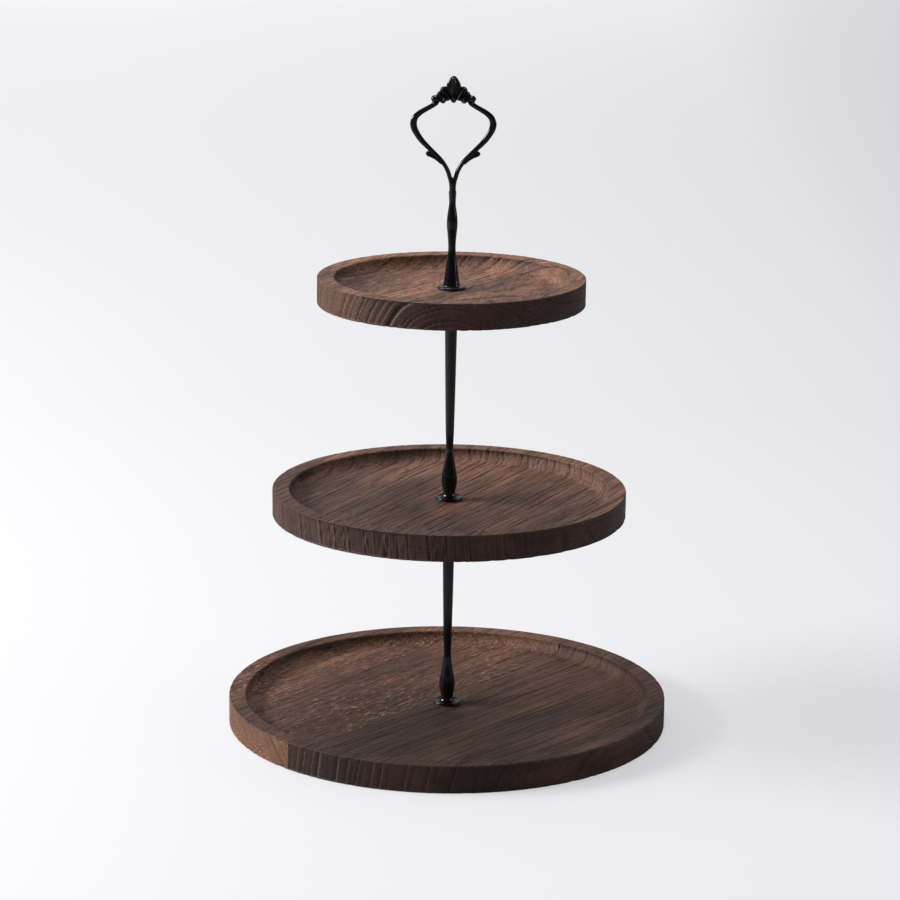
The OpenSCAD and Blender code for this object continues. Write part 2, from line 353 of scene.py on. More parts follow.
def make_growth_rings():
    """The same formula as ring_profile, as a node group on a place measured in the log."""
    group, given, out = new_group(
        "growth_rings",
        [("Place", "NodeSocketVector", None), ("Ring", "NodeSocketFloat", 0.003),
         ("Sharp", "NodeSocketFloat", 3.0), ("Sway", "NodeSocketFloat", 1.0)],
        [("Groove", "NodeSocketFloat"), ("Ridge", "NodeSocketFloat")])
    flat = add_node(group, "ShaderNodeVectorMath", {0: given["Place"], 1: (0, 1, 1)},
                    operation="MULTIPLY").outputs[0]
    reach = add_node(group, "ShaderNodeVectorMath", {0: flat}, operation="LENGTH").outputs[1]
    for along, across, deep, phase, size in RING_SWAYS:
        turns = [2 * math.pi * k for k in (along, across, deep)]
        wave = add_node(group, "ShaderNodeVectorMath", {0: given["Place"], 1: turns},
                        operation="DOT_PRODUCT").outputs[1]
        sway = maths(group, "SINE", maths(group, "ADD", wave, phase))
        sway = maths(group, "MULTIPLY", sway, given["Sway"])
        reach = maths(group, "MULTIPLY_ADD", sway, size, reach)
    first = maths(group, "DIVIDE", reach, given["Ring"])
    number = first
    for size, rate, phase in UNEVEN_YEARS:
        sway = maths(group, "SINE", maths(group, "MULTIPLY_ADD", first, rate, phase))
        number = maths(group, "MULTIPLY_ADD", sway, size, number)
    mean, change, rate, phase = DARK_YEARS
    year = maths(group, "SINE", maths(group, "MULTIPLY_ADD", number, rate, phase))
    strength = maths(group, "MULTIPLY_ADD", year, change, mean)
    for socket, lead, sharp in (("Groove", 0, given["Sharp"]),
                                ("Ridge", RIDGE_LEAD, RIDGE_SHARP)):
        wave = maths(group, "MULTIPLY", maths(group, "ADD", number, lead), 2 * math.pi)
        wave = maths(group, "MULTIPLY_ADD", maths(group, "COSINE", wave), 0.5, 0.5)
        line = maths(group, "POWER", wave, sharp)
        group.links.new(maths(group, "MULTIPLY", line, strength), out[socket])
    return group


growth_rings = make_growth_rings()
print("growth_rings nodes:", len(growth_rings.nodes))

# %% [markdown]
# Between the rings, wood has fibres and open pores: thousands of dashes a few tenths of a
# millimetre wide and several millimetres long. Modelling them would take millions of faces,
# so they are noise, squeezed across the grain and stretched along it, for the colour and
# for a fine bump.

# %% Fibres and pores


def make_wood_fibre():
    """Long soft fibres, and short pores where a finer noise passes a threshold."""
    group, given, out = new_group(
        "wood_fibre", [("Place", "NodeSocketVector", None)],
        [("Fibre", "NodeSocketFloat"), ("Pores", "NodeSocketFloat"),
         ("Streak", "NodeSocketFloat"), ("Vein", "NodeSocketFloat")])
    place = given["Place"]
    fibre = noise(group, place, 1.0, (26, 900, 900), 4.0, 0.6, 0.1)
    group.links.new(span(group, fibre, 0.3, 0.7), out["Fibre"])
    pores = noise(group, place, 1.0, (150, 1500, 1500), 2.0, 0.55)
    group.links.new(span(group, pores, 0.55, 0.68), out["Pores"])
    streak = noise(group, place, 1.0, (7, 130, 130), 3.0, 0.55, 0.2)
    group.links.new(span(group, streak, 0.3, 0.7), out["Streak"])
    vein = noise(group, place, 1.0, (18, 860, 860), 3.0, 0.6, 0.1)
    group.links.new(span(group, vein, 0.53, 0.6), out["Vein"])
    return group


def make_ray_flecks():
    """Short bright dashes, where quarter-cut wood shows its rays."""
    group, given, out = new_group(
        "ray_flecks", [("Place", "NodeSocketVector", None)], [("Fleck", "NodeSocketFloat")])
    fleck = noise(group, given["Place"], 1.0, (190, 1250, 1250), 2.0, 0.5)
    area = noise(group, given["Place"], 1.0, (14, 22, 22), 2.0)
    sharp = span(group, fleck, 0.57, 0.67)
    group.links.new(maths(group, "MULTIPLY", sharp, span(group, area, 0.38, 0.6)),
                    out["Fleck"])
    return group


wood_fibre = make_wood_fibre()
ray_flecks = make_ray_flecks()

# %% [markdown]
# ## The boards
#
# The bottom tray was glued from two boards, which is why its floor changes colour along a
# straight seam. The other trays are one board each. A board is a few numbers: where its pith
# runs, how it is turned, how wide its rings are and how deep they were brushed.
#
# - `pith` is a spot on the pith in millimetres, and `turn` the grain's turn in degrees.
# - `ring` is the width of a ring, `sharp` the power that narrows its line, and `sway` how
#   much the line wanders.
# - `brushed` and `ends` are the depth of the grooves along the board and on its ends.
# - `contrast`, `proud`, `fleck` and `wall` say how much shows of the ring lines, the painted
#   highlight on the ridges, the bright flecks and the painted shade on the side.
# - `painted_sheen` is a painted sheen: it makes the top lighter and warmer towards one side, by
#   so much per metre.
# - `light` and `warm` are the wood's own tones, `dark` the scorched one, `end_tone` that of the
#   end grain.

# %% Board values
FRONT_BOARD = dict(
    seed=3, pith=(150, -250, -30), turn=(0, 0.6, 50), ring=4.4, sharp=6.0, sway=1.0,
    brushed=0.22, ends=1.0, contrast=0.68, proud=0.36, fleck=0.1, painted_sheen=(1.3, 1.3, 0),
    wall=0.1,
    dark=shade(30, 23, 21), light=shade(88, 66, 58), warm=shade(122, 88, 72),
    end_tone=shade(54, 41, 38))
BACK_BOARD = dict(
    seed=5, pith=(-130, 160, -150), turn=(0, 0, 51), ring=4.6, sharp=3.0, sway=1.2,
    brushed=0.1, ends=0.7, contrast=0.45, proud=0.2, fleck=1.3, painted_sheen=(0.6, 1.0, 0),
    wall=0.1,
    dark=shade(42, 30, 27), light=shade(100, 73, 64), warm=shade(132, 94, 77),
    end_tone=shade(148, 106, 82))
MIDDLE_BOARD = dict(
    seed=8, pith=(-190, 90, 100), turn=(0, 1.5, 62), ring=4.1, sharp=8.0, sway=1.1,
    brushed=0.32, ends=2.4, contrast=0.85, proud=0.8, fleck=0.12, painted_sheen=(2.2, 1.6, 0),
    wall=0.8,
    dark=shade(33, 24, 23), light=shade(114, 86, 77), warm=shade(158, 114, 95),
    end_tone=shade(58, 45, 42))
TOP_BOARD = dict(
    seed=13, pith=(36, -14, 214), turn=(0, 8, 61), ring=3.6, sharp=4.0, sway=1.9,
    brushed=0.34, ends=1.9, contrast=0.7, proud=0.6, fleck=0.5, painted_sheen=(1.6, 0.2, 0),
    wall=0.85,
    dark=shade(42, 31, 29), light=shade(136, 102, 91), warm=shade(196, 142, 114),
    end_tone=shade(50, 38, 35))

# %% Wood tones
# Painted shade for the outer sides of the trays
PAINTED_SIDE_SHADE = shade(38, 25, 22)
# Painted highlight on the ridge tops
RIDGE_HIGHLIGHT_TONE = shade(146, 116, 102)
PORE_TONE = shade(16, 10, 8)
FLECK_TONE = shade(188, 136, 106)
# Painted highlight along the rounded edges of the rims
EDGE_HIGHLIGHT_TONE = shade(138, 102, 84)

# %% Wood marks


def place_in_log(tree, place, board):
    """The same as in_the_log, for nodes."""
    turn = [math.radians(a) for a in board["turn"]]
    pith = [c * MM for c in board["pith"]]
    return add_node(tree, "ShaderNodeMapping",
                    {"Vector": place, "Location": pith, "Rotation": turn},
                    vector_type="TEXTURE").outputs[0]


def wood_marks(tree, log, board):
    """The marks of a board by name, each a number from 0 to 1. Some come from the groups
    above, and three are stored on the mesh. Pores and veins are fainter on the sides."""
    rings = add_node(tree, "ShaderNodeGroup",
                     {"Place": log, "Ring": board["ring"] * MM, "Sharp": board["sharp"],
                      "Sway": board["sway"]}, node_tree=growth_rings).outputs
    fibres = add_node(tree, "ShaderNodeGroup", {"Place": log}, node_tree=wood_fibre).outputs
    flecks = add_node(tree, "ShaderNodeGroup", {"Place": log}, node_tree=ray_flecks).outputs
    end, wall, edge_chips_and_highlight = (add_node(tree, "ShaderNodeAttribute", attribute_name=k).outputs["Fac"]
                       for k in ("end_grain", "outer_wall", "painted_edge_highlight"))
    open_pores = maths(tree, "MULTIPLY", maths(tree, "MULTIPLY_ADD", end, -0.75, 1.0),
                       maths(tree, "MULTIPLY_ADD", wall, -0.5, 1.0))
    return {"end": end, "wall": wall, "edge_chips_and_highlight": edge_chips_and_highlight,
            "groove": rings["Groove"], "ridge": rings["Ridge"],
            "fibre": fibres["Fibre"], "streak": fibres["Streak"],
            "pores": maths(tree, "MULTIPLY", fibres["Pores"], open_pores),
            "vein": maths(tree, "MULTIPLY", fibres["Vein"], open_pores),
            "fleck": maths(tree, "MULTIPLY", flecks["Fleck"], board["fleck"])}


# %% Wood colour


def wood_colour(tree, place, log, marks, board):
    """The board's own two tones in broad patches, with a painted sheen that makes the tops
    lighter and warmer towards one side, and over them the layers in order, each as (mark,
    how much of it shows, tone). Some layers are painted light as well: shade on the side,
    highlights on the ridges and on the rounded edges."""
    end, wall, streak = marks["end"], marks["wall"], marks["streak"]
    broad = noise(tree, log, 1.0, (9, 30, 30), 2.0)
    # Painted sheen: the tops grow lighter and warmer along a fixed direction, to the right and
    # back.
    painted_sheen = add_node(tree, "ShaderNodeVectorMath", {0: place, 1: board["painted_sheen"]},
                    operation="DOT_PRODUCT").outputs[1]
    broad = maths(tree, "MULTIPLY_ADD", painted_sheen, maths(tree, "SUBTRACT", 1.0, wall), broad)
    colour = mix_colours(tree, span(tree, broad, 0.4, 0.64), board["light"], board["warm"])

    side = maths(tree, "MULTIPLY", wall, maths(tree, "SUBTRACT", 1.0, end))
    full_end = maths(tree, "POWER", end, 3.0)
    line = maths(tree, "MULTIPLY", marks["groove"], span(tree, streak, 0.1, 0.9, 1.15, 0.5))
    line = maths(tree, "MULTIPLY", line, maths(tree, "MULTIPLY_ADD", full_end, 0.4, 1.0))
    line = maths(tree, "MULTIPLY", line, maths(tree, "MULTIPLY_ADD", side, -0.6, 1.0))
    layers = [
        (end, maths(tree, "MULTIPLY_ADD", wall, 0.3, 0.55), board["end_tone"]),
        # Painted shade: the side grain of the outer wall is darkened, for the shade on the trays'
        # sides.
        (side, board["wall"], PAINTED_SIDE_SHADE),
        (streak, 0.45, board["dark"]),
        (line, board["contrast"], board["dark"]),
        # Painted highlight: the ridge tops, mostly on the end grain, are lighter, as if grazing
        # light caught them.
        (marks["ridge"], maths(tree, "MULTIPLY_ADD", full_end, board["proud"], 0.06),
         RIDGE_HIGHLIGHT_TONE),
        (marks["vein"], 0.72, board["dark"]),
        (marks["fibre"], 0.4, board["dark"]),
        (marks["pores"], 0.65, PORE_TONE),
        (marks["fleck"], maths(tree, "MULTIPLY_ADD", end, 0.35, 0.55), FLECK_TONE),
        # Painted highlight: the rounded rim edges are lighter in irregular stretches, as if the
        # light caught them.
        (marks["edge_chips_and_highlight"], span(tree, marks["fibre"], 0.45, 1.0, 0.0, 0.4), EDGE_HIGHLIGHT_TONE),
    ]
    for mark, share, tone in layers:
        colour = mix_colours(tree, maths(tree, "MULTIPLY", mark, share), colour, tone)
    return colour


# %% Wood material


def make_wood(name, board):
    """Ring lines, streaks, fibres and flecks for one board, with a satin oil finish."""
    material, tree, shader, place = new_material(name)
    log = place_in_log(tree, place, board)
    marks = wood_marks(tree, log, board)
    tree.links.new(wood_colour(tree, place, log, marks, board), shader.inputs["Base Color"])
    shader.inputs["Specular IOR Level"].default_value = 0.2

    rough = span(tree, marks["fibre"], 0.0, 1.0, 0.5, 0.66)
    rough = maths(tree, "MULTIPLY_ADD", marks["groove"], 0.16, rough)
    rough = maths(tree, "MULTIPLY_ADD", marks["fleck"], -0.1, rough, clamp=True)
    tree.links.new(rough, shader.inputs["Roughness"])

    height = maths(tree, "MULTIPLY", marks["fibre"], 0.5)
    for mark, rise in (("pores", -0.9), ("vein", -0.8), ("fleck", 0.4)):
        height = maths(tree, "MULTIPLY_ADD", marks[mark], rise, height)
    fine_bump(tree, shader, height, 0.14, 0.8)
    return material


# %% [markdown]
# ## The trays
#
# On a lathe a tray is an outline turned round an axis, and so it is here. The outline is one
# closed loop: up the hole, over the floor, up the cove, across the rim, down the side and
# back along the underside. Points lie closer together where the brushed grooves show.
# Each point is then sunk along its normal by the ring formula at that place. The grooves are
# deeper on the ends of the board, where the brush digs out the soft wood, and the underside
# stays smooth because it was only sanded.

# %% Tray values
RIM_WIDTH = 10.0
RECESS = 7.0
COVE = 5.7
OUTER_ROUND = 0.6
INNER_ROUND = 1.1
HOLE = 2.1
COUNTERBORE = (8.0, 4.0)   # radius and depth

# %% Tray outline


def flat_rows(start, end):
    """Points of a flat stretch. Nothing bends in its middle, so two steps out of three are
    left out there, and both ends keep theirs for the soft shading of the edges."""
    rows = straight(start, end, 5.0)
    return np.concatenate([rows[:1], rows[1:-1:3], rows[-1:]])


def tray_outline(radius, thickness, spacing, counterbore=None):
    """Closed (radius, height) outline in mm, with how far it was brushed and how much each
    point is a rounded edge, which gets chips and a painted highlight."""
    inner = radius - RIM_WIDTH
    floor = thickness - RECESS
    if counterbore:
        wide, deep = counterbore
        under = [straight((HOLE, deep), (wide, deep), 2.0),
                 straight((wide, deep), (wide, 0), 1.0)]
        start = wide
        up = [straight((HOLE, floor), (HOLE, deep), 2.0)]
    else:
        under, start = [], HOLE
        up = [straight((HOLE, floor), (HOLE, 0), 2.0)]
    # Each stretch is (points, how far it was brushed, edge weight for the chips and the painted
    # highlight).
    stretches = [(s, 0.0, 0.0) for s in up + under] + [
        (flat_rows((start, 0), (radius - OUTER_ROUND, 0)), 0.0, 0.0),
        (arc((radius - OUTER_ROUND, OUTER_ROUND), OUTER_ROUND, -90, -12, 4), 0.7, 1.0),
        (straight((radius, OUTER_ROUND), (radius, thickness - OUTER_ROUND), 0.9), 1.0, 0.0),
        (arc((radius - OUTER_ROUND, thickness - OUTER_ROUND), OUTER_ROUND, 0, 78, 5), 0.8, 1.0),
        (straight((radius - OUTER_ROUND, thickness), (inner + INNER_ROUND, thickness), 0.75),
         0.8, 0.0),
        (arc((inner + INNER_ROUND, thickness - INNER_ROUND), INNER_ROUND, 90, 180, 6), 0.8, 0.35),
        (arc((inner - COVE, floor + COVE), COVE, 0, -82, 11), 0.9, 0.0),
        (straight((inner - COVE, floor), (HOLE + 1.5, floor), spacing), 1.0, 0.0),
        (straight((HOLE + 1.5, floor), (HOLE, floor), 0.8), 0.0, 0.0),
    ]
    points = np.concatenate([s for s, _, _ in stretches])
    brushed = np.concatenate([np.full(len(s), b) for s, b, _ in stretches])
    edge_chips_and_highlight = np.concatenate([np.full(len(s), w) for s, _, w in stretches])
    return points, brushed, edge_chips_and_highlight


def outline_normals(points):
    """Unit normals of a closed outline, a quarter turn from the line between neighbours."""
    along = np.roll(points, -1, 0) - np.roll(points, 1, 0)
    normal = np.stack([along[:, 1], -along[:, 0]], -1)
    return normal / np.linalg.norm(normal, axis=1, keepdims=True)


# %% Tray surface
NICKS = (0.4, 3)      # depth in mm, and the columns between two random values
RIDGE_HEIGHT = 0.35   # share of a groove's depth by which a ridge stands up


def edge_nicks(turns, seed):
    """Small chips along an edge: random depths every few columns, joined by straight
    stretches, of which only those well above the average are kept."""
    depth, every = NICKS
    count = turns // every
    random = np.random.default_rng(seed).normal(size=count)
    at = np.arange(turns) * count / turns
    depths = np.interp(at, np.arange(count + 1), np.append(random, random[0]))
    return depth * np.clip(depths - 0.5, 0, 2)


def brushed_tray(name, node_low, node_high, board, turns, spacing, counterbore=None):
    """A turned tray: point = outline point turned round Z, sunk along its normal by
    (brushed + (ends - brushed) e^6) times the ring profile, e being the cosine between the
    normal and the grain. The ridges stay at the turned surface."""
    radius = (node_high[0] - node_low[0]) / 2 / MM
    thickness = (node_high[2] - node_low[2]) / MM
    outline, brushed, edge_chips_and_highlight = tray_outline(radius, thickness, spacing, counterbore)
    grid = turned_grid(outline * MM, turns)
    grid[..., 2] += node_low[2]
    facing = turned_grid(outline_normals(outline), turns)
    grain = np.array(Euler([math.radians(a) for a in board["turn"]]).to_matrix())[:, 0]
    end = np.abs(facing @ grain) ** 2
    depth = board["brushed"] + (board["ends"] - board["brushed"]) * end ** 3
    groove, ridge = ring_profile(grid, board)
    level = RIDGE_HEIGHT * (1 - ridge)
    sunk = depth * (level + (1 - RIDGE_HEIGHT) * groove) * brushed[:, None]
    sunk += (edge_chips_and_highlight > 0.9)[:, None] * edge_nicks(turns, board["seed"]) * (0.35 + end)
    grid -= facing * (sunk * MM)[..., None]
    points, faces = closed_grid(grid, wrap_rows=True)
    piece = link_mesh(name, points, faces)
    outer = (outline[:, :1] > radius - 0.3) * np.ones_like(end)
    for label, values in (("end_grain", end * brushed[:, None]), ("outer_wall", outer),
                          ("painted_edge_highlight", np.broadcast_to(edge_chips_and_highlight[:, None], end.shape))):
        mark = piece.data.attributes.new(label, "FLOAT", "POINT")
        mark.data.foreach_set("value", np.ascontiguousarray(values, np.float32).ravel())
    return piece


# %% [markdown]
# The two boards of the bottom tray are the same turned blank, cut along the seam. Each is
# turned whole with its own grain and then cut with a plane, and the cut face is filled. A
# hair of room is left between them for the line of dried glue.

# %% Bottom tray
SEAM_ANGLE = 50.0
SEAM_OFFSET = 8.6
GLUE = 0.05


def keep_side(piece, side):
    """Cuts a piece with the seam's plane and keeps the part in front (-1) or behind (1)."""
    a = math.radians(SEAM_ANGLE)
    normal = (-math.sin(a), math.cos(a), 0)
    place = [c * (SEAM_OFFSET + side * GLUE) * MM for c in normal]
    solid = bmesh.new()
    solid.from_mesh(piece.data)
    everything = solid.verts[:] + solid.edges[:] + solid.faces[:]
    cut = bmesh.ops.bisect_plane(solid, geom=everything, plane_co=place, plane_no=normal,
                                 dist=1e-7, clear_outer=side < 0, clear_inner=side > 0)
    edges = [e for e in cut["geom_cut"] if isinstance(e, bmesh.types.BMEdge)]
    filled = bmesh.ops.edgeloop_fill(solid, edges=edges)
    for face in filled["faces"]:
        face.smooth = False
    bmesh.ops.recalc_face_normals(solid, faces=filled["faces"])
    solid.to_mesh(piece.data)
    solid.free()
    return piece


front_low, front_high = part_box("bottom_tray_front_board")
back_low, back_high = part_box("bottom_tray_back_board")
bottom_low = [min(a, b) for a, b in zip(front_low, back_low)]
bottom_high = [max(a, b) for a, b in zip(front_high, back_high)]
for name, node, board, side in (
        ("turned_front_board", "bottom_tray_front_board", FRONT_BOARD, -1),
        ("turned_back_board", "bottom_tray_back_board", BACK_BOARD, 1)):
    tray = brushed_tray(name, bottom_low, bottom_high, board, 880, 0.95, COUNTERBORE)
    finish_piece(keep_side(tray, side), "base", "wood", make_wood(name + "_wood", board),
                 node)

# %% Middle and top trays
for name, node, board, turns, spacing in (
        ("turned_middle_tray", "middle_tray", MIDDLE_BOARD, 610, 0.95),
        ("turned_top_tray", "top_tray", TOP_BOARD, 620, 0.85)):
    tray = brushed_tray(name, *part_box(node), board, turns, spacing)
    finish_piece(tray, node, "wood", make_wood(name + "_wood", board), node)

# %% [markdown]
# ## Black paint and steel
#
# The rods and the crown are cast metal under a semi-gloss black coat. Sprayed paint is never
# quite flat: it dries with a faint orange peel and pools a little, so the gloss changes over
# the surface. The hidden washers, studs and the screw are plain zinc-plated steel.

# %% Paint, steel and gasket materials


def make_black_paint():
    """Semi-gloss black with a faint peel in the bump and slow changes of gloss."""
    material, tree, shader, place = new_material("black_paint")
    peel = noise(tree, place, 1400.0, detail=1.0)
    pool = noise(tree, place, 90.0, detail=3.0)
    dust = noise(tree, place, 260.0, detail=4.0, rough=0.7)
    colour = mix_colours(tree, span(tree, dust, 0.55, 0.8), shade(13, 10, 13),
                         shade(26, 22, 25))
    tree.links.new(colour, shader.inputs["Base Color"])
    tree.links.new(span(tree, pool, 0.3, 0.7, 0.12, 0.22), shader.inputs["Roughness"])
    shader.inputs["Specular IOR Level"].default_value = 0.36
    fine_bump(tree, shader, peel, 0.02, 0.4)
    return material


def make_steel():
    """Zinc-plated steel: pale, slightly blotchy, with fine turning marks."""
    material, tree, shader, place = new_material("zinc_steel")
    blotch = noise(tree, place, 380.0, detail=4.0)
    marks = noise(tree, place, 1.0, (900, 900, 7000), 2.0)
    colour = mix_colours(tree, blotch, shade(176, 178, 182), shade(212, 210, 200))
    tree.links.new(colour, shader.inputs["Base Color"])
    tree.links.new(span(tree, blotch, 0.3, 0.7, 0.24, 0.42), shader.inputs["Roughness"])
    shader.inputs["Metallic"].default_value = 1.0
    fine_bump(tree, shader, marks, 0.02, 0.4)
    return material


def make_gasket():
    """Dull dark rubber with a fine grain."""
    material, tree, shader, place = new_material("soft_gasket")
    grain = noise(tree, place, 1800.0, detail=3.0)
    colour = mix_colours(tree, grain, shade(52, 50, 48), shade(72, 70, 67))
    tree.links.new(colour, shader.inputs["Base Color"])
    tree.links.new(span(tree, grain, 0.3, 0.7, 0.7, 0.9), shader.inputs["Roughness"])
    fine_bump(tree, shader, grain, 0.03)
    return material


black_paint = make_black_paint()
zinc_steel = make_steel()
soft_gasket = make_gasket()

# %% [markdown]
# ## Rods and column
#
# A rod is cast in the shape of a turned spindle: a round foot with a raised lip, a hollow
# curve up to the neck, a bulb, a slim waist and then a long taper to the next tray. Its
# outline is a smooth curve through a few points, and the blind hole for the screw below is
# part of the same outline, so the foot looks right when the rod is unscrewed and lifted.

# %% Rod outlines
THREAD = 2.0
ROD_HOLE = (THREAD + 0.05, 11.0)     # radius and depth of the threaded hole in a foot
CROWN_HOLE = (1.3, 7.5)              # the same for the hole in the column's top
SHOULDER = 3.6                       # radius at the top of the taper
WAIST = (2.05, 29.5)                 # radius and height of the slimmest place


def rod_outline(length):
    """(radius, height) in mm: hole, raised lip, hollow foot, bulb and waist through chosen
    points, then a taper that grows with the 3/4 power of the way to the top."""
    hole, deep = ROD_HOLE
    way = np.array([0.1, 0.2, 0.35, 0.5, 0.7, 0.85, 1.0])
    taper = np.stack([WAIST[0] + (SHOULDER - WAIST[0]) * way ** 0.75,
                      WAIST[1] + (length - 0.4 - WAIST[1]) * way], -1)
    body = through([(6.7, 1.02), (5.7, 1.0), (4.7, 1.35), (3.85, 2.3), (3.45, 3.7), (3.6, 5.2),
                    (4.1, 7.6), (4.42, 10.2), (4.35, 12.8), (3.85, 16.4), (3.1, 20.6),
                    (2.4, 25.2), WAIST, *taper], 6)
    return np.concatenate([
        [(0.01, deep + 0.8), (hole, deep)],
        straight((hole, deep), (hole, 0.4), 1.5), [(hole + 0.4, 0)],
        arc((7.2, 0.7), 0.7, -90, 128, 12), body,
        arc((SHOULDER - 0.4, length - 0.4), 0.4, 20, 90, 4), [(0.01, length)]])


def column_outline(length):
    """The same for the column: thin flat disc, cone, waist, swelling and slim top end."""
    hole, deep = ROD_HOLE
    top_hole, top_deep = CROWN_HOLE
    body = through([(5.1, 1.2), (4.75, 1.5), (4.45, 3.2), (4.2, 4.7), (3.7, 8.7), (3.2, 12.4),
                    (2.8, 15.1), (2.3, 19.0), (2.1, 22.4), (2.2, 26.0), (2.55, length - 24),
                    (2.92, length - 20.5), (3.0, length - 17.6), (2.85, length - 14.8),
                    (2.4, length - 11.2), (1.95, length - 8.2), (1.85, length - 6.2),
                    (1.98, length - 3), (2.1, length - 0.9), (2.12, length - 0.3)], 6)
    return np.concatenate([
        [(0.01, deep + 0.8), (hole, deep)],
        straight((hole, deep), (hole, 0.4), 1.5), [(hole + 0.4, 0)],
        arc((7.45, 0.5), 0.5, -90, 70, 9), arc((7.2, 0.6), 0.55, 70, 95, 3),
        [(6.6, 1.08), (5.6, 1.06)], body,
        [(2.0, length), (top_hole, length)],
        straight((top_hole, length), (top_hole, length - top_deep), 1.5)[1:],
        [(0.01, length - top_deep - 0.4)]])


# %% Rods and column in place
for node, outline in (("lower_rod", rod_outline), ("upper_rod", rod_outline),
                      ("handle_column", column_outline)):
    low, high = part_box(node)
    shape = outline((high.z - low.z) / MM)
    shape[:, 1] += low.z / MM
    finish_piece(turned_piece("cast_" + node, shape), node, "black_paint", black_paint, node)

# %% [markdown]
# ## The crown
#
# The handle is a flat casting: two arms that swing out and back like a pair of brackets, a
# curl and a small thumb leaf on each, and an acanthus leaf where they meet. Each part is a
# section carried along a path, and then the overlapping parts are fused by a voxel remesh.
# That leaves the soft fillets of a casting where a boolean would leave hard creases.

# %% Crown values
# Each point is (x, height, width), in mm above the crown's foot.
ARM_LINE = [(0.9, 2.2, 2.1), (0.95, 5.3, 2.5), (1.75, 8.0, 2.5), (2.6, 10.8, 2.45),
            (3.9, 13.4, 2.4), (5.6, 16.0, 2.45), (7.7, 18.4, 2.55), (12.9, 23.5, 2.7),
            (17.3, 28.0, 3.1), (20.2, 32.2, 3.5), (21.6, 35.2, 3.8), (21.85, 38.1, 3.75),
            (20.8, 41.0, 3.4), (18.3, 43.4, 3.0), (15.4, 45.2, 2.8), (12.9, 46.6, 2.7),
            (10.3, 48.2, 2.7), (8.0, 49.8, 2.4)]
ARM_DEPTH = 3.0
THUMB_LEAF = [(5.6, 14.9, 1.8), (8.4, 17.9, 2.6), (11.0, 19.8, 3.2), (13.4, 20.7, 3.1),
              (15.2, 21.0, 2.2)]
THUMB_DEPTH = 2.6
# Leaflets as (middle line of (x, height, width), depth)
LEAFLETS = [
    ([(0.0, 50.4, 5.6), (0.0, 53.4, 7.0), (0.0, 57.0, 8.0), (0.0, 59.4, 7.6), (0.0, 61.2, 5.8),
      (0.0, 62.6, 4.0), (0.0, 63.9, 2.6)], 3.4),
    ([(1.6, 50.6, 4.8), (3.3, 53.2, 6.0), (4.9, 55.4, 5.4), (5.9, 56.7, 4.2), (6.6, 57.7, 2.8)],
     3.1),
    ([(3.4, 50.6, 4.2), (5.7, 52.3, 5.0), (7.4, 53.6, 4.2), (8.8, 54.8, 2.4)], 2.9),
    ([(0.0, 53.0, 4.2), (0.0, 51.0, 3.6), (0.0, 48.9, 2.2)], 3.1),
    ([(4.8, 52.4, 4.2), (5.7, 50.6, 3.8), (6.1, 48.5, 2.2)], 3.0),
    ([(6.6, 50.4, 3.6), (8.8, 51.8, 3.2), (10.4, 52.4, 2.2)], 2.6),
    ([(10.6, 48.4, 2.2), (10.6, 50.2, 2.1), (10.5, 51.2, 2.0)], 2.6),
]
CURL = (10.5, 51.2, 1.9)             # x, height and radius
# The collar is turned, as (radius, height).
COLLAR = [(0.01, 0), (1.7, 0), (1.82, 0.12), (1.82, 1.2), (1.9, 3.0), (1.9, 4.6), (1.7, 6.2),
          (0.9, 7.4), (0.01, 7.7)]

# %% Crown parts
BAND_STEPS = 8       # rows from one point of a line to the next
BAND_ROUND = 28      # columns round a band
BEAD_ROWS = 24


def swept_band(line, depth, blunt=2.0, rib=0.0):
    """A band along a line in the X-Z plane. Its section is a closed oval: sideways
    half the width times cos a, and in depth half the depth times sin a to a power below
    one, with a rib that stands up along the middle. Both ends close in a quarter round."""
    path = through(line, BAND_STEPS)
    middle, width = path[:, :2], path[:, 2]
    way = np.gradient(middle, axis=0)
    way /= np.linalg.norm(way, axis=1, keepdims=True)
    side = np.stack([-way[:, 1], way[:, 0]], -1)
    run = np.concatenate([[0], np.cumsum(np.linalg.norm(np.diff(middle, axis=0), axis=1))])
    close = np.minimum(run, run[-1] - run) / (width.max() / blunt)
    close = np.sqrt(np.clip(1 - (1 - np.clip(close, 0, 1)) ** 2, 1e-4, 1))
    a = np.linspace(0, 2 * np.pi, BAND_ROUND, endpoint=False)
    across = np.cos(a)
    deep = np.sign(np.sin(a)) * np.abs(np.sin(a)) ** 0.8
    deep = deep * (1 + rib * (np.exp(-(across / 0.16) ** 2) - 0.45 * np.exp(
        -((np.abs(across) - 0.5) / 0.16) ** 2)))
    reach = across * (width / 2 * close)[:, None]
    x = middle[:, :1] + side[:, :1] * reach
    z = middle[:, 1:] + side[:, 1:] * reach
    y = deep * (depth / 2 * close)[:, None]
    return np.stack([x, y, z], -1)


def bead(x, z, radius):
    """A ball as a grid: latitude rows between the poles, and columns that go round."""
    up = np.radians(np.linspace(-86, 86, BEAD_ROWS))[:, None]
    a = np.linspace(0, 2 * np.pi, BEAD_ROWS * 2, endpoint=False)
    return np.stack([x + radius * np.cos(up) * np.cos(a), radius * np.cos(up) * np.sin(a),
                     z + radius * np.sin(up) + 0 * a], -1)


def crown_parts():
    """Every grid of the crown in mm above its foot, with the right half mirrored."""
    half = [swept_band(ARM_LINE, ARM_DEPTH), swept_band(THUMB_LEAF, THUMB_DEPTH, rib=0.25),
            bead(*CURL)]
    leaflets = [(line, swept_band(line, depth, rib=0.55, blunt=5.0))
                for line, depth in LEAFLETS]
    half += [grid for line, grid in leaflets if line[1][0] > 0]
    whole = [grid for line, grid in leaflets if line[1][0] == 0]
    whole.append(turned_grid(np.array(COLLAR), 48))
    return half + [grid * (-1, 1, 1) for grid in half] + whole


